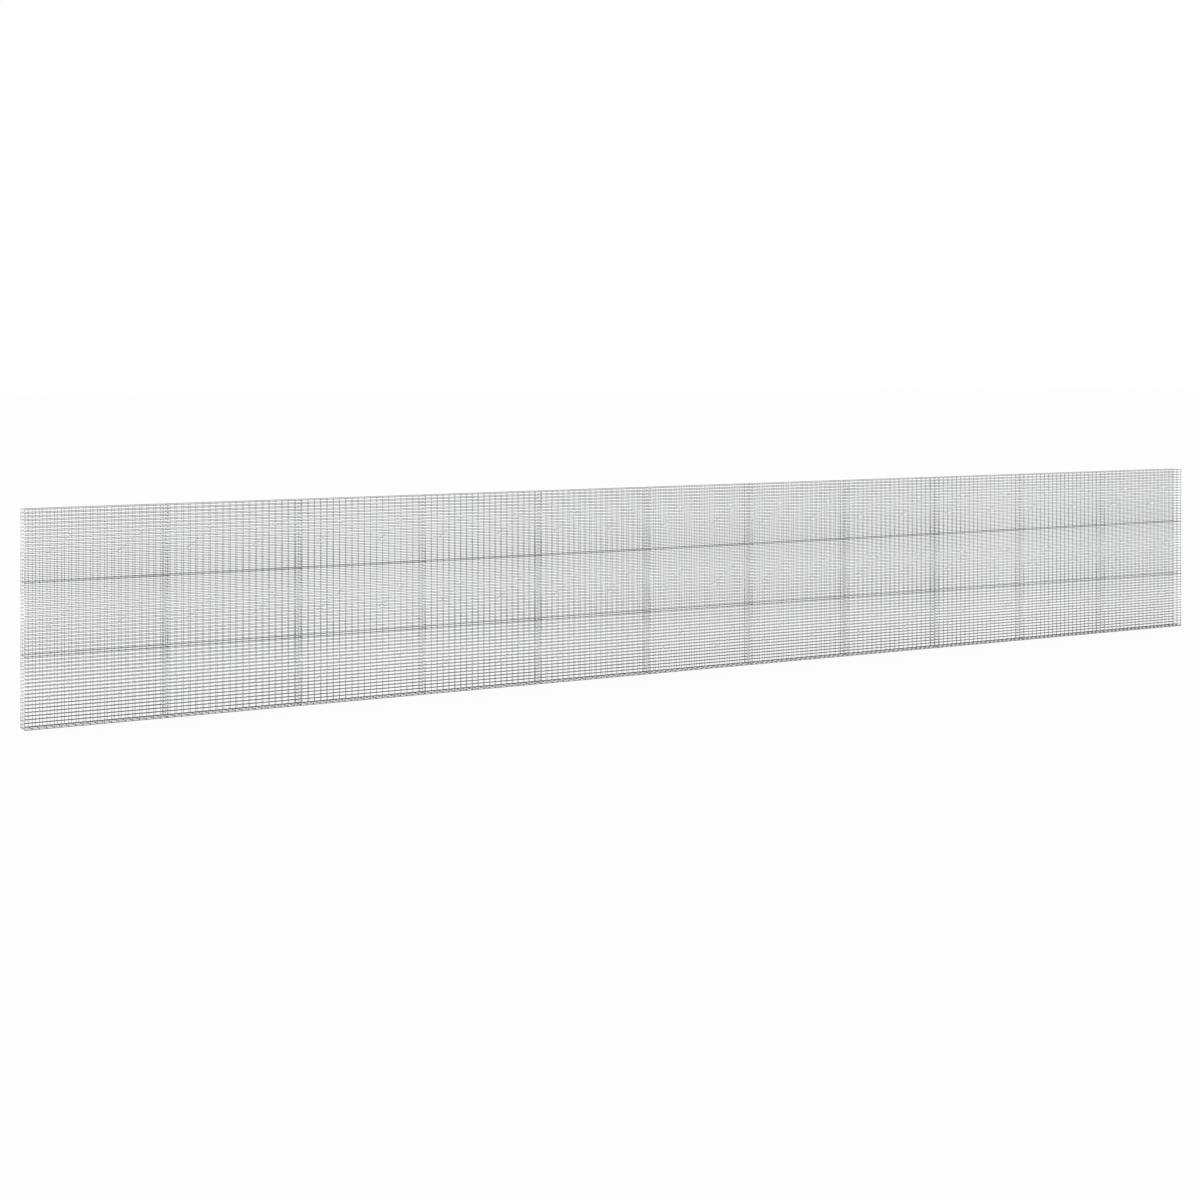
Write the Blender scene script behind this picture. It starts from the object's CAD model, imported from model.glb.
"""A long, thin gabion fence of welded mesh, dressed wire by wire over its CAD frame.

The frame draws every fourth upright and about every third line wire. Here each face, partition and
floor panel gets all of its round wires, sunk into each other where they are welded, and the spacer ties
and binder rings are bent from round wire. Everything is in metres, in the frame's own axes: +X along
the fence, +Y from the front face to the back face, +Z up.
"""

import logging
import math
from dataclasses import dataclass, field
from enum import Enum

import bpy
import numpy as np
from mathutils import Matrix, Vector


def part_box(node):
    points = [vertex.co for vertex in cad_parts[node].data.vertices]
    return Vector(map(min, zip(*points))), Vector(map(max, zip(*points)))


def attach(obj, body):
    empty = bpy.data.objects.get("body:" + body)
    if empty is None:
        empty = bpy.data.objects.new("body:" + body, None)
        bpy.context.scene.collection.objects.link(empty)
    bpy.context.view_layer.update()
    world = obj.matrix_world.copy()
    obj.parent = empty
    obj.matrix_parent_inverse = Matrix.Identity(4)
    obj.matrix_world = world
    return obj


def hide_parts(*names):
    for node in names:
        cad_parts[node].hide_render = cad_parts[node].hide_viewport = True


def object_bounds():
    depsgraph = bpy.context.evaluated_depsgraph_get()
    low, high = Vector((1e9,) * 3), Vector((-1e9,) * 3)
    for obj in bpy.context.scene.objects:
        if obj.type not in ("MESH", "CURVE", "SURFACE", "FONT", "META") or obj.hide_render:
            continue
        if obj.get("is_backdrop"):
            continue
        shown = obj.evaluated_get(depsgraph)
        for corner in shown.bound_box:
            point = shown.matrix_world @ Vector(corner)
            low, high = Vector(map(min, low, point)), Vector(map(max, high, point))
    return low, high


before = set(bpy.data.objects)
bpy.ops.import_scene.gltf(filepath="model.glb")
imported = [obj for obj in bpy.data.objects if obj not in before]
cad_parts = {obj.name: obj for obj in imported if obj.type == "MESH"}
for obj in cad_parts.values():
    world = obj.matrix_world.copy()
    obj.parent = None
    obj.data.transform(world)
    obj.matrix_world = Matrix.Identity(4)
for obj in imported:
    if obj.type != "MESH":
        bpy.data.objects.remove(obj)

LOG = logging.getLogger("gabion_fence")
BODY = "root"
Point = tuple[float, float, float]


class Slot(Enum):
    """Material slots of the record."""

    MESH = "mesh_wire"
    TIE = "tie_wire"
    RING = "ring_wire"


class Side(Enum):
    """The two long faces, by the sign of their Y."""

    FRONT = -1
    BACK = 1


class Wire(Enum):
    """The kinds of wire in the fence."""

    LINE = "line wire, which runs along the fence, or a wire of the floor"
    JOINT = "line wire at a joint of two rows, where two of them are ringed together"
    CROSS = "upright of a face"
    SEAM = "wire of a partition, or upright at a panel's edge, which is ringed to its neighbour"
    TIE = "wire of a spacer tie"
    RING = "wire of a binder ring"


def linear(hex_code: str) -> tuple[float, float, float, float]:
    """Turns an sRGB colour to linear light.

    Args:
        hex_code: Six hex digits.

    Returns:
        Red, green and blue in linear light, and an alpha of 1.
    """
    values = [int(hex_code[i:i + 2], 16) / 255 for i in (0, 2, 4)]
    rgb = [v / 12.92 if v <= 0.04045 else ((v + 0.055) / 1.055) ** 2.4 for v in values]
    return (rgb[0], rgb[1], rgb[2], 1.0)


def add_node(
    tree: bpy.types.NodeTree,
    kind: str,
    inputs: dict[str | int, object] | None = None,
    **settings: object,
) -> bpy.types.Node:
    """Adds a node with its settings, its values and its links.

    Args:
        tree: The node tree that takes the node.
        kind: The node's type name.
        inputs: A value, or another node's output socket, for each input by name or place.
        **settings: Properties of the node itself.

    Returns:
        The new node.
    """
    node = tree.nodes.new(kind)
    for name, value in settings.items():
        setattr(node, name, value)
    for key, value in (inputs or {}).items():
        if isinstance(value, bpy.types.NodeSocket):
            tree.links.new(value, node.inputs[key])
        else:
            node.inputs[key].default_value = value
    return node


def per_mm(size: float) -> float:
    """Scale of a pattern whose grain is this many millimetres, in object space."""
    return 1000.0 / size


@dataclass(frozen=True)
class ZincPattern:
    """Sizes and strengths of the marks in a zinc coat, which every kind of wire shares.

    Args:
        cloud_mm: Width of a patch of bloom, drawn coarse enough to show.
        cloud_detail: Octaves of the patches.
        cloud_roughness: How broken the patches' edges are.
        grain_mm: Width of a zinc crystal.
        grain_share: How much the crystals add to the patches.
        marks_along: Draw marks in each cell that the wire crosses.
        marks_round: Draw marks round the wire, which is about four to a millimetre on the mesh.
        marks_detail: Octaves of the draw marks.
        marks_share: How much the draw marks add to the relief of the crystals.
        tone_span: Where the coat turns from dark to light, on the patches' scale.
        gloss_span: Where it turns from dull to polished, on the same scale.
        dulling: What the roughness gains where the coat is dull.
        weld_turn: Half the way from one weld to the next, in cells.
        weld_span: Where a weld's burn starts to fade and where it ends, in cells from the weld.
        weld_depth: How much of the burn's own colour shows in its middle.
        relief: Strength of the bump.
        relief_m: Height of the bump.
        metallic: How much the coat looks like bare metal, under its film of oxide.
    """

    cloud_mm: float = 60.0
    cloud_detail: float = 3.0
    cloud_roughness: float = 0.6
    grain_mm: float = 3.0
    grain_share: float = 0.25
    marks_along: float = 2.0
    marks_round: float = 48.0
    marks_detail: float = 2.0
    marks_share: float = 0.5
    tone_span: tuple[float, float] = (0.40, 0.78)
    gloss_span: tuple[float, float] = (0.3, 0.8)
    dulling: float = 0.16
    weld_turn: float = 0.5
    weld_span: tuple[float, float] = (0.06, 0.16)
    weld_depth: float = 0.85
    relief: float = 0.25
    relief_m: float = 0.0002
    metallic: float = 0.8


@dataclass(frozen=True)
class GalvanisedWire:
    """Drawn and galvanised steel wire: soft gloss, cloudy grey zinc, and darker at the welds.

    The colours that stand here are those of a dull coat that has weathered to a dark grey.

    Args:
        name: Name of the material.
        light: Zinc where the coat is fresh.
        dark: Zinc where it has bloomed and dulled.
        weld: Zinc burnt by the weld, and the dirt that sits in the joint.
        welded: Whether the wire has welds along it, at whole numbers of its U coordinate.
        polish: Roughness of the brightest patches.
        pattern: Sizes and strengths of the coat's marks.
    """

    name: str
    light: str = "7A7C7E"
    dark: str = "5A5C5E"
    weld: str = "505152"
    welded: bool = True
    polish: float = 0.42
    pattern: ZincPattern = ZincPattern()

    def build(self) -> bpy.types.Material:
        """Builds the node material.

        Returns:
            The material.
        """
        pattern = self.pattern
        material = bpy.data.materials.new(self.name)
        material.use_nodes = True
        tree = material.node_tree
        tree.nodes.clear()
        spot = add_node(tree, "ShaderNodeTexCoord")
        cloud = add_node(tree, "ShaderNodeTexNoise", {
            "Vector": spot.outputs["Object"], "Scale": per_mm(pattern.cloud_mm),
            "Detail": pattern.cloud_detail, "Roughness": pattern.cloud_roughness})
        grain = add_node(tree, "ShaderNodeTexVoronoi", {
            "Vector": spot.outputs["Object"], "Scale": per_mm(pattern.grain_mm)})
        mottle = add_node(tree, "ShaderNodeMath", {
            0: grain.outputs["Color"], 1: pattern.grain_share, 2: cloud.outputs["Fac"]},
            operation="MULTIPLY_ADD")
        tone = add_node(tree, "ShaderNodeValToRGB", {"Fac": mottle.outputs["Value"]})
        for stop, place, colour in zip(
                tone.color_ramp.elements, pattern.tone_span, (self.dark, self.light)):
            stop.position, stop.color = place, linear(colour)
        zinc = tone.outputs["Color"]
        if self.welded:
            zinc = self.burnt_at_welds(tree, spot.outputs["UV"], zinc)
        rough = add_node(tree, "ShaderNodeMapRange", {
            "Value": mottle.outputs["Value"],
            "From Min": pattern.gloss_span[0], "From Max": pattern.gloss_span[1],
            "To Min": self.polish + pattern.dulling, "To Max": self.polish})
        raised = self.raised_marks(tree, spot.outputs["UV"], grain.outputs["Distance"])
        steel = add_node(tree, "ShaderNodeBsdfPrincipled", {
            "Base Color": zinc, "Metallic": pattern.metallic, "Roughness": rough.outputs["Result"],
            "Normal": raised})
        add_node(tree, "ShaderNodeOutputMaterial", {"Surface": steel.outputs["BSDF"]})
        return material

    def burnt_at_welds(
        self, tree: bpy.types.NodeTree, uv: bpy.types.NodeSocket, zinc: bpy.types.NodeSocket
    ) -> bpy.types.NodeSocket:
        """Darkens the coat at each whole number of U, which is where a weld sits.

        Args:
            tree: The material's node tree.
            uv: The UV coordinates.
            zinc: Colour of the coat.

        Returns:
            Colour of the coat with its welds.
        """
        pattern = self.pattern
        along = add_node(tree, "ShaderNodeSeparateXYZ", {"Vector": uv})
        near = add_node(tree, "ShaderNodeMath", {
            0: along.outputs["X"], 1: pattern.weld_turn}, operation="PINGPONG")
        burnt = add_node(tree, "ShaderNodeMapRange", {
            "Value": near.outputs["Value"],
            "From Min": pattern.weld_span[0], "From Max": pattern.weld_span[1],
            "To Min": pattern.weld_depth, "To Max": 0.0}, interpolation_type="SMOOTHSTEP")
        mixed = add_node(tree, "ShaderNodeMix", {
            "Factor": burnt.outputs["Result"], "A": zinc, "B": linear(self.weld)}, data_type="RGBA")
        # The colour socket of a mix shares its name with the sockets of the other kinds.
        return next(socket for socket in mixed.outputs if socket.type == "RGBA")

    def raised_marks(
        self, tree: bpy.types.NodeTree, uv: bpy.types.NodeSocket, crystals: bpy.types.NodeSocket
    ) -> bpy.types.NodeSocket:
        """Raises the crystals, and the draw marks that run along the wire.

        Args:
            tree: The material's node tree.
            uv: The UV coordinates.
            crystals: Height of the crystals.

        Returns:
            The bumped normal.
        """
        pattern = self.pattern
        squeezed = add_node(tree, "ShaderNodeMapping", {
            "Vector": uv, "Scale": (1.0, pattern.marks_round / pattern.marks_along, 1.0)})
        marks = add_node(tree, "ShaderNodeTexNoise", {
            "Vector": squeezed.outputs["Vector"], "Scale": pattern.marks_along,
            "Detail": pattern.marks_detail})
        height = add_node(tree, "ShaderNodeMath", {
            0: marks.outputs["Fac"], 1: pattern.marks_share, 2: crystals}, operation="MULTIPLY_ADD")
        bump = add_node(tree, "ShaderNodeBump", {
            "Height": height.outputs["Value"], "Strength": pattern.relief,
            "Distance": pattern.relief_m})
        return bump.outputs["Normal"]


@dataclass
class Finishes:
    """The fence's finishes, one for each kind of wire.

    Args:
        wires: Finish of each kind of wire.
        made: Material of each kind, once it is built.
    """

    wires: dict[Wire, GalvanisedWire] = field(default_factory=lambda: {
        # Line wire: weathered zinc, so that the level wires read as the darkest lines of the mesh.
        Wire.LINE: GalvanisedWire("dull_galvanised_line_wire"),
        # Edge line wire: half as weathered, so that the pair at a joint reads as one firm grey line.
        Wire.JOINT: GalvanisedWire(
            "galvanised_edge_line_wire", light="A6A8AA", dark="88898B", weld="6A6B6C"),
        # Cross wire: fresh zinc, pale and even, so that the uprights stand back behind the lines.
        Wire.CROSS: GalvanisedWire(
            "bright_galvanised_cross_wire", light="DCDDDF", dark="CACBCD", weld="9C9D9E"),
        # Seam wire: the palest zinc, so that the wires bundled at a bay line make a soft band.
        Wire.SEAM: GalvanisedWire(
            "bright_galvanised_seam_wire", light="F2F3F4", dark="E8E9EA", weld="C4C5C6"),
        # Tie wire: bright drawn zinc without welds, which shows the ties as light diagonals.
        Wire.TIE: GalvanisedWire(
            "bright_galvanised_tie_wire", light="F8F9FA", dark="EEEFF0", welded=False, polish=0.34),
        # Ring wire: thin drawn zinc, about as pale as the uprights and a little glossier.
        Wire.RING: GalvanisedWire(
            "galvanised_ring_wire", light="DADBDD", dark="C4C5C7", welded=False, polish=0.36)})
    made: dict[Wire, bpy.types.Material] = field(default_factory=dict)

    def build(self) -> None:
        """Builds the material of each wire."""
        self.made = {wire: finish.build() for wire, finish in self.wires.items()}


@dataclass
class WireMesh:
    """Gathers round wires into one Blender mesh.

    Args:
        sides: Flats round each wire, smoothed in the shading.
        used: Kinds of wire in the mesh, in the order of its materials.
        dress: Each face's place in that order.
        points: Points round each wire.
        faces: Corners of each face.
        smooth: Whether each face is shaded smooth.
        uvs: For each corner, its cell along the wire and its share of the turn round it.
        count: Number of points so far.
    """

    sides: int = 10
    used: list[Wire] = field(default_factory=list)
    dress: list[int] = field(default_factory=list)
    points: list[np.ndarray] = field(default_factory=list)
    faces: list[list[int]] = field(default_factory=list)
    smooth: list[bool] = field(default_factory=list)
    uvs: list[tuple[float, float]] = field(default_factory=list)
    count: int = 0

    def around(self, path: np.ndarray, radius: float, closed: bool) -> np.ndarray:
        """Sets points round a path, without a twist from one place on it to the next.

        Args:
            path: Points of the wire's middle, one a row.
            radius: Half the wire's thickness.
            closed: Whether the wire's end meets its start.

        Returns:
            The points, by their place on the path and then round it.
        """
        if closed:
            tangents = np.roll(path, -1, 0) - np.roll(path, 1, 0)
        else:
            tangents = np.gradient(path, axis=0)
        tangents /= np.linalg.norm(tangents, axis=1)[:, None]
        least_along = np.eye(3)[np.argmin(np.abs(tangents[0]))]
        normal = np.cross(tangents[0], least_along)
        normals = []
        for tangent in tangents:
            normal = normal - tangent * normal.dot(tangent)
            normal = normal / np.linalg.norm(normal)
            normals.append(normal)
        across = np.array(normals)
        other = np.cross(tangents, across)
        turn = np.arange(self.sides) * 2 * math.pi / self.sides
        return path[:, None] + radius * (
            across[:, None] * np.cos(turn)[None, :, None] + other[:, None] * np.sin(turn)[None, :, None])

    def sweep(
        self,
        path: np.ndarray,
        radius: float,
        wire: Wire,
        closed: bool = False,
        along: tuple[float, float] = (0.0, 1.0),
    ) -> None:
        """Sweeps a round wire along a path, with cut ends unless it is closed.

        Args:
            path: Points of the wire's middle, one a row.
            radius: Half the wire's thickness.
            wire: Kind of wire, for its finish.
            closed: Whether the wire's end meets its start.
            along: U coordinate at the two ends.
        """
        if wire not in self.used:
            self.used.append(wire)
        n, start, rings, first_face = self.sides, self.count, len(path), len(self.faces)
        self.points.append(self.around(path, radius, closed).reshape(-1, 3))
        self.count += rings * n
        u = np.linspace(along[0], along[1], rings + closed)
        for k in range(rings - (not closed)):
            a, b = start + k * n, start + ((k + 1) % rings) * n
            for i in range(n):
                j = (i + 1) % n
                self.faces.append([a + i, a + j, b + j, b + i])
                self.smooth.append(True)
                self.uvs += [(u[k], i / n), (u[k], (i + 1) / n), (u[k + 1], (i + 1) / n), (u[k + 1], i / n)]
        if not closed:
            for at, base, order in ((u[0], start, -1), (u[-1], self.count - n, 1)):
                self.faces.append([base + i for i in range(n)][::order])
                self.smooth.append(False)
                self.uvs += [(at, i / n) for i in range(n)][::order]
        self.dress += [self.used.index(wire)] * (len(self.faces) - first_face)

    def straight(
        self, start: Point, end: Point, radius: float, wire: Wire, along: tuple[float, float] = (0.0, 1.0)
    ) -> None:
        """Adds a straight wire from start to end, with its U coordinate at both ends."""
        self.sweep(np.array([start, end], float), radius, wire, along=along)

    def finish(self, name: str, slot: Slot, finishes: Finishes, replaced: list[str]) -> bpy.types.Object:
        """Makes the object, dresses it and hands it to the frame.

        Args:
            name: Name of the piece.
            slot: Slot of its finish.
            finishes: The built materials.
            replaced: CAD nodes that the piece stands for.

        Returns:
            The piece.
        """
        mesh = bpy.data.meshes.new(name)
        mesh.from_pydata(np.concatenate(self.points).tolist(), [], self.faces)
        mesh.polygons.foreach_set("use_smooth", self.smooth)
        layer = mesh.uv_layers.new(name="wire_length")
        layer.data.foreach_set("uv", np.array(self.uvs, np.float32).ravel())
        for wire in self.used:
            mesh.materials.append(finishes.made[wire])
        mesh.polygons.foreach_set("material_index", self.dress)
        mesh.validate()
        mesh.update()
        piece = bpy.data.objects.new(name, mesh)
        bpy.context.scene.collection.objects.link(piece)
        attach(piece, BODY)
        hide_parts(*replaced)
        triangles = sum(len(f) - 2 for f in self.faces)
        LOG.info("%s: %d triangles, stands for %s", name, triangles, ", ".join(replaced))
        return piece


@dataclass(frozen=True)
class MeshSizes:
    """Sizes of the welded mesh that its panels share, in metres.

    Args:
        cells_wide: Cells along a panel.
        cells_high: Cells up a panel.
        cells_deep: Cells from the front to the back, on the floor and the partitions.
        rows: Panels stacked in a bay.
        wire: Thickness of a wire.
        stub: Length of a wire past the middle of the last wire that it crosses.
        deep_stub: The same on the floor and the partitions, as a share of a cell's depth.
        gap: Clearance between pieces that seat on each other.
        sink: How deep one wire is pressed into the other at a weld.
    """

    cells_wide: int = 20
    cells_high: int = 20
    cells_deep: int = 2
    rows: int = 3
    wire: float = 0.004
    stub: float = 0.0021
    deep_stub: float = 0.04
    gap: float = 0.0003
    sink: float = 0.0004

    @property
    def radius(self) -> float:
        """Half the wire's thickness."""
        return self.wire / 2

    @property
    def deep_ends(self) -> tuple[float, float]:
        """U coordinate at the ends of a wire that runs from the front to the back."""
        return (-self.deep_stub, self.cells_deep + self.deep_stub)


@dataclass(frozen=True)
class BayGrid:
    """Where the wires of one bay stand, read from the frame's own panel.

    Args:
        number: Bay, counted from the left.
        sizes: Sizes of the mesh.
    """

    number: int
    sizes: MeshSizes

    @property
    def box(self) -> tuple[Vector, Vector]:
        """Lowest and highest corner of the bay's back panels."""
        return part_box(f"back_bay_{self.number:02d}")

    @property
    def columns(self) -> np.ndarray:
        """X of each upright."""
        lo, hi = self.box
        return np.linspace(lo.x + self.sizes.stub, hi.x - self.sizes.stub, self.sizes.cells_wide + 1)

    def row_span(self, row: int) -> tuple[float, float]:
        """Lowest and highest Z of a row's panel.

        Args:
            row: Row, counted from the ground at 0.

        Returns:
            The two heights.
        """
        lo, hi = self.box
        rows = self.sizes.rows
        height = (hi.z - lo.z - (rows - 1) * self.sizes.gap) / rows
        low = lo.z + row * (height + self.sizes.gap)
        return low, low + height

    def lines(self, row: int) -> np.ndarray:
        """Z of each line wire of a row."""
        low, high = self.row_span(row)
        return np.linspace(low + self.sizes.stub, high - self.sizes.stub, self.sizes.cells_high + 1)

    def column(self, cells: float) -> float:
        """X of the place that lies this many cells from the bay's first upright."""
        columns = self.columns
        return columns[0] + cells * (columns[1] - columns[0])

    def ends_past(self, crossed: np.ndarray) -> tuple[float, float]:
        """U coordinate at the ends of a wire, which is a whole number at each wire that it crosses.

        Args:
            crossed: Places of the wires that it crosses.

        Returns:
            The two coordinates.
        """
        past = self.sizes.stub / float(crossed[1] - crossed[0])
        return (-past, len(crossed) - 1 + past)


@dataclass
class FacePanels:
    """The stacked panels of one bay's front or back: uprights inside and line wires welded outside.

    Args:
        grid: Where the bay's wires stand.
        side: Which face.
    """

    grid: BayGrid
    side: Side

    def upright_kind(self, column: int) -> Wire:
        """Kind of an upright, by its place from the left: a panel's edge wires are seam wires."""
        return Wire.SEAM if column in (0, self.grid.sizes.cells_wide) else Wire.CROSS

    def line_kind(self, row: int, line: int) -> Wire:
        """Kind of a line wire.

        Args:
            row: Row, counted from the ground at 0.
            line: Line wire, counted from the row's lowest at 0.

        Returns:
            The joint's kind where the wire is ringed to the row above or below.
        """
        sizes = self.grid.sizes
        joined_below = line == 0 and row > 0
        joined_above = line == sizes.cells_high and row < sizes.rows - 1
        return Wire.JOINT if joined_below or joined_above else Wire.LINE

    def build(self, finishes: Finishes) -> bpy.types.Object:
        """Builds the wires of the stacked panels.

        Args:
            finishes: The built materials.

        Returns:
            The piece.
        """
        sizes, sign, face = self.grid.sizes, self.side.value, self.side.name.lower()
        node = f"{face}_bay_{self.grid.number:02d}"
        lo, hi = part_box(node)
        near, far = sorted((abs(lo.y), abs(hi.y)))
        upright_y = sign * (near + sizes.radius + sizes.sink)
        line_y = sign * (far - sizes.radius)
        wires = WireMesh()
        columns = self.grid.columns
        for row in range(sizes.rows):
            low, high = self.grid.row_span(row)
            lines = self.grid.lines(row)
            for i, x in enumerate(columns):
                wires.straight((x, upright_y, low), (x, upright_y, high), sizes.radius,
                               self.upright_kind(i), self.grid.ends_past(lines))
            for j, z in enumerate(lines):
                wires.straight((lo.x, line_y, z), (hi.x, line_y, z), sizes.radius,
                               self.line_kind(row, j), self.grid.ends_past(columns))
        return wires.finish(f"{face}_wires_{self.grid.number:02d}", Slot.MESH, finishes, [node])


@dataclass
class PartitionPanels:
    """The stacked panels across the fence at one bay line, or at an end.

    Args:
        node: CAD node that they stand for.
        name: Name of the piece.
        grid: A bay that gives the height of each line wire.
        lines_left: Whether the line wires lie on the left of the uprights.
    """

    node: str
    name: str
    grid: BayGrid
    lines_left: bool = False

    def build(self, finishes: Finishes) -> bpy.types.Object:
        """Builds the wires of the stacked panels.

        Args:
            finishes: The built materials.

        Returns:
            The piece.
        """
        sizes = self.grid.sizes
        lo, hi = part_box(self.node)
        turn = -1 if self.lines_left else 1
        upright_x = (hi.x if self.lines_left else lo.x) + turn * sizes.radius
        line_x = upright_x + turn * (sizes.wire - sizes.sink)
        lowest_line = lo.z + sizes.gap + sizes.radius
        depths = np.linspace(lo.y + sizes.radius, hi.y - sizes.radius, sizes.cells_deep + 1)
        wires = WireMesh()
        for row in range(sizes.rows):
            low, high = self.grid.row_span(row)
            lines = self.grid.lines(row)
            foot = max(low, lo.z)
            cell = lines[1] - lines[0]
            for y in depths:
                wires.straight((upright_x, y, foot), (upright_x, y, high), sizes.radius, Wire.SEAM,
                               ((foot - lines[0]) / cell, (high - lines[0]) / cell))
            for z in np.maximum(lines, lowest_line):
                wires.straight((line_x, lo.y, z), (line_x, hi.y, z), sizes.radius, Wire.SEAM,
                               sizes.deep_ends)
        return wires.finish(self.name, Slot.MESH, finishes, [self.node])


@dataclass
class FloorPanels:
    """One flat panel a bay: long wires on the ground and cross wires welded on top of them.

    Args:
        grids: The bays.
    """

    grids: list[BayGrid]

    def build(self, finishes: Finishes) -> bpy.types.Object:
        """Builds the wires of the floor.

        Args:
            finishes: The built materials.

        Returns:
            The piece.
        """
        lo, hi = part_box("floor_mesh")
        wires = WireMesh()
        for grid in self.grids:
            sizes = grid.sizes
            left, right = grid.box[0].x, grid.box[1].x
            bottom = lo.z + sizes.radius
            top = bottom + sizes.wire - sizes.sink
            for y in np.linspace(lo.y + sizes.radius, hi.y - sizes.radius, sizes.cells_deep + 1):
                wires.straight((left, y, bottom), (right, y, bottom), sizes.radius, Wire.LINE,
                               grid.ends_past(grid.columns))
            for x in grid.columns:
                wires.straight((x, lo.y, top), (x, hi.y, top), sizes.radius, Wire.LINE, sizes.deep_ends)
        return wires.finish("floor_wires", Slot.MESH, finishes, ["floor_mesh"])


@dataclass
class SpacerTies:
    """The ties of one row, two in each bay, hooked round the line wires of both faces.

    Args:
        row: Row, counted from the ground at 0.
        grids: The bays.
        wire: Thickness of a tie's wire.
        columns: Cells from the bay's first upright to the low leg of each tie.
        span: Cells that a tie runs along the fence.
        low: Line wire under the low leg.
        high: Line wire under the high leg.
        bend_steps: Steps round a hook.
        hook_room: Half the opening of a hook, in thicknesses of the line wire that it goes round.
    """

    row: int
    grids: list[BayGrid]
    wire: float = 0.0035
    columns: tuple[float, ...] = (3.5, 13.5)
    span: int = 3
    low: int = 7
    high: int = 13
    bend_steps: int = 10
    hook_room: float = 0.75

    def leg(self, x: float, z: float, face_y: float, hook: float) -> np.ndarray:
        """Path of a leg from the front hook to the back hook.

        Args:
            x: Its place along the fence.
            z: Height of the line wires that it hooks round.
            face_y: Y of the back line wires.
            hook: Radius of the hooks.

        Returns:
            The path's points.
        """
        turn = np.linspace(-math.pi / 2, math.pi / 2, self.bend_steps + 1)
        back = np.stack([np.full_like(turn, x), face_y + hook * np.cos(turn), z - hook * np.sin(turn)], 1)
        front = back * np.array([1, -1, 1])
        return np.concatenate([front[::-1], back])

    def build(self, finishes: Finishes) -> bpy.types.Object:
        """Builds the ties of the row.

        Args:
            finishes: The built materials.

        Returns:
            The piece.
        """
        node = f"ties_row_{self.row + 1}"
        _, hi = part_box(node)
        radius = self.wire / 2
        wires = WireMesh()
        for grid in self.grids:
            sizes = grid.sizes
            hook = self.hook_room * sizes.wire + sizes.gap + radius
            face_y = hi.y - hook - radius
            lines = grid.lines(self.row)
            for column in self.columns:
                x, far_x = grid.column(column), grid.column(column + self.span)
                for at, line in ((x, self.low), (far_x, self.high)):
                    path = self.leg(at, lines[line], face_y, hook)
                    wires.sweep(path, radius, Wire.TIE)
                reach = face_y - sizes.radius - radius - sizes.gap
                wires.straight((x, reach, lines[self.low] + hook), (far_x, -reach, lines[self.high] + hook),
                               radius, Wire.TIE)
        return wires.finish(f"spacer_ties_{self.row + 1}", Slot.TIE, finishes, [node])


@dataclass
class BinderRings:
    """Wire rings that bind the panels of one face, up the bay lines or along the row joints.

    Args:
        side: Which face.
        grids: The bays.
        upright: True for rings up the bay lines, false for rings along the row joints.
        wire: Thickness of a ring's wire.
        step: Cells from one ring to the next.
        steps: Steps round a ring.
        sides: Flats round its wire.
    """

    side: Side
    grids: list[BayGrid]
    upright: bool
    wire: float = 0.002
    step: int = 5
    steps: int = 24
    sides: int = 8

    def middles(self, middle_y: float) -> list[Point]:
        """Middle of each ring.

        Args:
            middle_y: Y of every ring.

        Returns:
            The points.
        """
        grids, sizes = self.grids, self.grids[0].sizes
        gap = sizes.gap / 2
        first = self.step // 2
        if self.upright:
            seams = [g.box[0].x - gap for g in grids] + [grids[-1].box[1].x + gap]
            places = []
            for row in range(sizes.rows):
                lines = grids[0].lines(row)
                places += [(lines[j] + lines[j + 1]) / 2 for j in range(first, sizes.cells_high, self.step)]
            return [(x, middle_y, z) for x in seams for z in places]
        joints = [grids[0].row_span(row)[0] - gap for row in range(1, sizes.rows)]
        spots = []
        for grid in grids:
            columns = grid.columns
            spots += [(columns[i] + columns[i + 1]) / 2 for i in range(first, sizes.cells_wide, self.step)]
        return [(x, middle_y, z) for x in spots for z in joints]

    def build(self, finishes: Finishes) -> bpy.types.Object:
        """Builds the rings.

        Args:
            finishes: The built materials.

        Returns:
            The piece.
        """
        kind = "seam" if self.upright else "row"
        node = f"{kind}_rings_{self.side.name.lower()}"
        lo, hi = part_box(node)
        radius = (hi.y - lo.y - self.wire) / 2
        turn = np.arange(self.steps) * 2 * math.pi / self.steps
        flat = np.zeros(self.steps)
        if self.upright:
            circle = np.stack([radius * np.cos(turn), radius * np.sin(turn), flat], 1)
        else:
            circle = np.stack([flat, radius * np.cos(turn), radius * np.sin(turn)], 1)
        wires = WireMesh(sides=self.sides)
        for middle in self.middles((lo.y + hi.y) / 2):
            wires.sweep(circle + np.array(middle), self.wire / 2, Wire.RING, closed=True)
        return wires.finish(f"binder_rings_{kind}_{self.side.name.lower()}", Slot.RING, finishes, [node])


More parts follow.
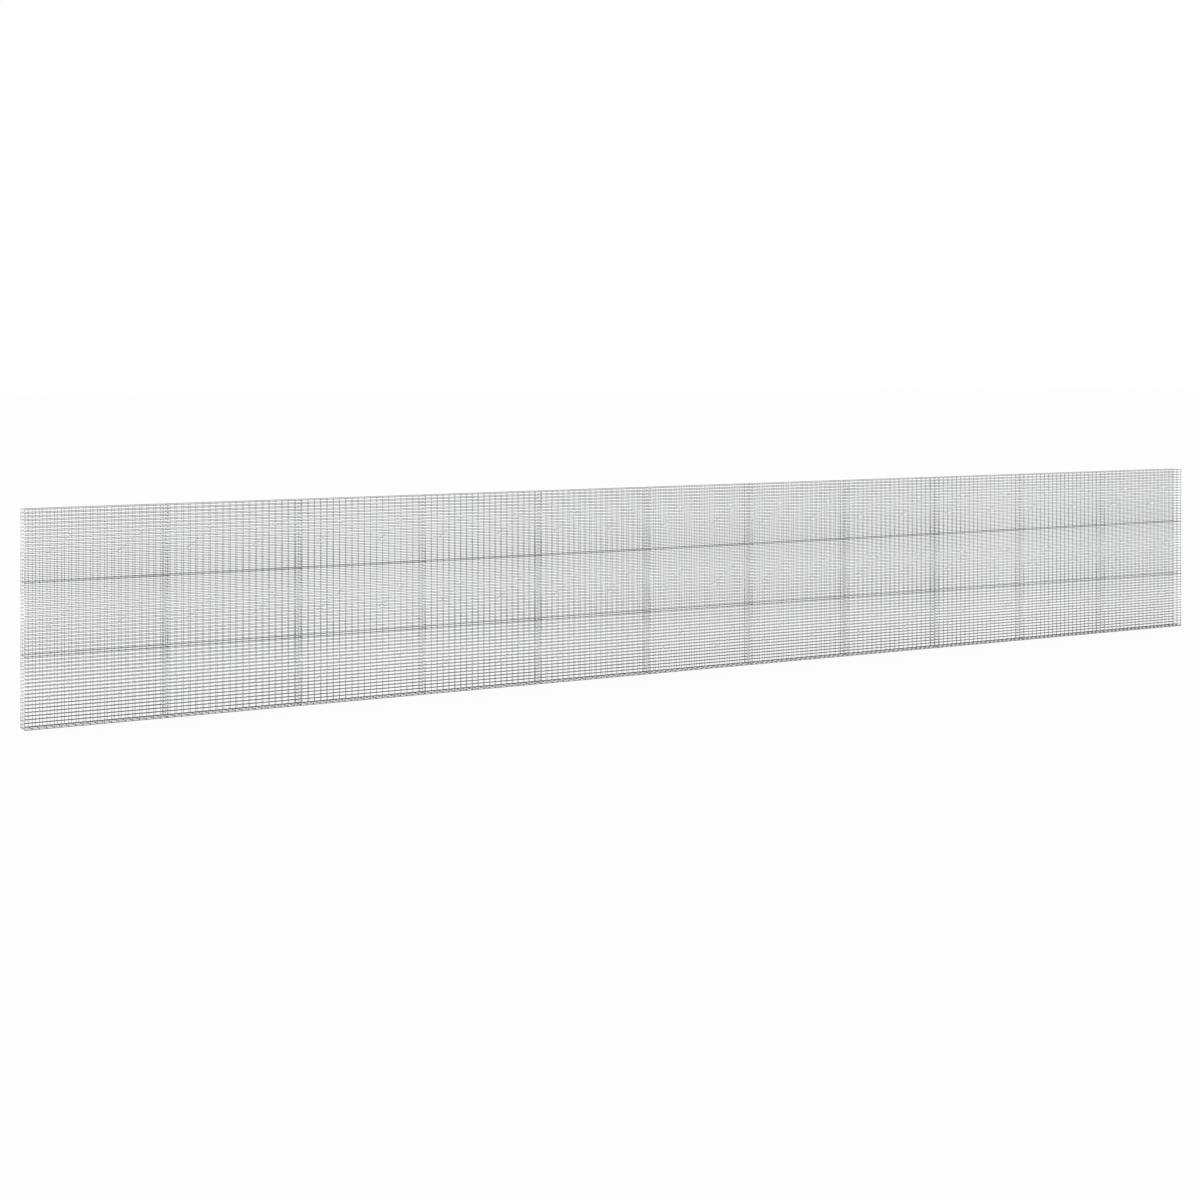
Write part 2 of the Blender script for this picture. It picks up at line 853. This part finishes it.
@dataclass
class Fence:
    """The whole fence, built sub-assembly by sub-assembly.

    Args:
        sizes: Sizes of the mesh.
        bays: Bays side by side.
    """

    sizes: MeshSizes = MeshSizes()
    bays: int = 11

    def build(self, finishes: Finishes) -> list[bpy.types.Object]:
        """Builds every piece of the fence.

        Args:
            finishes: The built materials.

        Returns:
            The pieces.
        """
        grids = [BayGrid(n, self.sizes) for n in range(1, self.bays + 1)]
        parts: list[FacePanels | PartitionPanels | FloorPanels | SpacerTies | BinderRings] = []
        parts += [FacePanels(grid, side) for side in Side for grid in grids]
        parts += [PartitionPanels(f"partition_{g.number:02d}", f"partition_wires_{g.number:02d}", g)
                  for g in grids[:-1]]
        parts.append(PartitionPanels("end_left", "end_wires_left", grids[0]))
        parts.append(PartitionPanels("end_right", "end_wires_right", grids[-1], lines_left=True))
        parts.append(FloorPanels(grids))
        parts += [SpacerTies(row, grids) for row in range(self.sizes.rows)]
        parts += [BinderRings(side, grids, upright) for upright in (True, False) for side in Side]
        return [part.build(finishes) for part in parts]


def background_share(tree: bpy.types.NodeTree) -> bpy.types.NodeSocket:
    """Adds the nodes that tell rays that show the background from rays that light the fence.

    Args:
        tree: The node tree that takes the nodes.

    Returns:
        A value of 1 for a ray from the camera, off something glossy or through something clear.
    """
    path = add_node(tree, "ShaderNodeLightPath")
    seen = add_node(tree, "ShaderNodeMath", {
        0: path.outputs["Is Camera Ray"], 1: path.outputs["Is Glossy Ray"]}, operation="MAXIMUM")
    shown = add_node(tree, "ShaderNodeMath", {
        0: seen.outputs["Value"], 1: path.outputs["Is Transmission Ray"]}, operation="MAXIMUM")
    return shown.outputs["Value"]


@dataclass(frozen=True)
class Studio:
    """Plain pale floor, white surroundings and soft light.

    Args:
        floor_size: Side of the floor.
        floor_drop: How far the floor lies under the fence, so that their faces don't coincide.
        floor_light: Pale paint of the floor.
        floor_dark: The same paint where it is a shade darker.
        mottle_mm: Width of the patches in the paint.
        shade_share: How much of the floor's own shading shows, and with it the fence's shadow.
        sky: Strength of the even light from all round.
        sun: Strength of the soft lamp, which stands low and off the left end.
        sun_way: Direction from the fence to that lamp.
        sun_spread: Width of that lamp as the fence sees it, in degrees.
    """

    floor_size: float = 400.0
    floor_drop: float = 0.0005
    floor_light: str = "F4F4F4"
    floor_dark: str = "F1F1F1"
    mottle_mm: float = 900.0
    shade_share: float = 0.08
    sky: float = 0.90
    sun: float = 1.0
    sun_way: Point = (-0.86, -0.48, 0.18)
    sun_spread: float = 40.0

    def build(self) -> None:
        """Builds the world, the floor and the lamp."""
        self.build_world()
        self.build_floor()
        self.build_lamp()

    def build_world(self) -> None:
        """White where it is seen, straight or in a reflection, and even light otherwise."""
        world = bpy.data.worlds.new("pale_surroundings")
        bpy.context.scene.world = world
        world.use_nodes = True
        tree = world.node_tree
        tree.nodes.clear()
        shown = background_share(tree)
        even = add_node(tree, "ShaderNodeBackground", {"Color": linear("FFFFFF"), "Strength": self.sky})
        white = add_node(tree, "ShaderNodeBackground", {"Color": linear("FFFFFF"), "Strength": 1.0})
        mixed = add_node(tree, "ShaderNodeMixShader", {
            0: shown, 1: even.outputs["Background"], 2: white.outputs["Background"]})
        add_node(tree, "ShaderNodeOutputWorld", {"Surface": mixed.outputs["Shader"]})

    def build_floor(self) -> None:
        """A large pale floor that keeps a faint shadow of the fence."""
        half = self.floor_size / 2
        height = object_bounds()[0].z - self.floor_drop
        corners = [(-half, -half), (half, -half), (half, half), (-half, half)]
        mesh = bpy.data.meshes.new("studio_floor")
        mesh.from_pydata([(x, y, height) for x, y in corners], [], [(0, 1, 2, 3)])
        # Pale floor paint: matt and faintly uneven, so that it reads as nearly white ground.
        material = bpy.data.materials.new("pale_painted_floor")
        material.use_nodes = True
        tree = material.node_tree
        tree.nodes.clear()
        spot = add_node(tree, "ShaderNodeTexCoord")
        mottle = add_node(tree, "ShaderNodeTexNoise", {
            "Vector": spot.outputs["Object"], "Scale": per_mm(self.mottle_mm), "Detail": 2.0})
        tone = add_node(tree, "ShaderNodeValToRGB", {"Fac": mottle.outputs["Fac"]})
        tone.color_ramp.elements[0].color = linear(self.floor_dark)
        tone.color_ramp.elements[1].color = linear(self.floor_light)
        paint = add_node(tree, "ShaderNodeBsdfDiffuse", {"Color": tone.outputs["Color"]})
        white = add_node(tree, "ShaderNodeEmission", {"Color": linear("FFFFFF"), "Strength": 1.0})
        share = add_node(tree, "ShaderNodeMath", {
            0: background_share(tree), 1: 1.0 - self.shade_share}, operation="MULTIPLY")
        mixed = add_node(tree, "ShaderNodeMixShader", {
            0: share.outputs["Value"], 1: paint.outputs["BSDF"], 2: white.outputs["Emission"]})
        add_node(tree, "ShaderNodeOutputMaterial", {"Surface": mixed.outputs["Shader"]})
        mesh.materials.append(material)
        floor = bpy.data.objects.new("studio_floor", mesh)
        bpy.context.scene.collection.objects.link(floor)
        floor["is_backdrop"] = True

    def build_lamp(self) -> None:
        """One wide soft lamp, far off to the left, that lights the uprights more than the line wires."""
        light = bpy.data.lights.new("soft_lamp", "SUN")
        light.energy, light.angle = self.sun, math.radians(self.sun_spread)
        lamp = bpy.data.objects.new("soft_lamp", light)
        lamp.rotation_euler = Vector(self.sun_way).to_track_quat("Z", "Y").to_euler()
        bpy.context.scene.collection.objects.link(lamp)


@dataclass(frozen=True)
class Viewpoint:
    """The camera: level, low on the left, looking along the front.

    Args:
        place: Where it stands, with Y measured from the front face.
        heading: Angle from straight ahead, towards +X, in degrees.
        sensor_mm: Width of the picture on the sensor.
        lens_mm: Focal length.
        shift: Sideways and upward shift of the picture, in its widths.
        clip: Nearest and farthest distance that it sees.
    """

    place: Point = (-8.885, -13.586, 2.4565)
    heading: float = 30.205
    sensor_mm: float = 36.0
    lens_mm: float = 58.965
    shift: tuple[float, float] = (0.0, -0.1904)
    clip: tuple[float, float] = (0.1, 500.0)

    def build(self) -> None:
        """Builds the camera and makes it the scene's own."""
        data = bpy.data.cameras.new("viewpoint")
        data.sensor_width, data.lens = self.sensor_mm, self.lens_mm
        data.shift_x, data.shift_y = self.shift
        data.clip_start, data.clip_end = self.clip
        camera = bpy.data.objects.new("viewpoint", data)
        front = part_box("front_bay_01")[0].y
        camera.location = (self.place[0], front + self.place[1], self.place[2])
        camera.rotation_euler = (math.pi / 2, 0.0, -math.radians(self.heading))
        bpy.context.scene.collection.objects.link(camera)
        bpy.context.scene.camera = camera


def main() -> None:
    """Builds the fence, the studio and the camera in order."""
    logging.basicConfig(level=logging.INFO, format="%(name)s %(message)s")
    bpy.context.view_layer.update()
    bpy.context.scene.view_settings.view_transform = "Standard"
    finishes = Finishes()
    finishes.build()
    pieces = Fence().build(finishes)
    LOG.info("fence: %d pieces", len(pieces))
    Studio().build()
    Viewpoint().build()


if __name__ == "__main__":
    main()
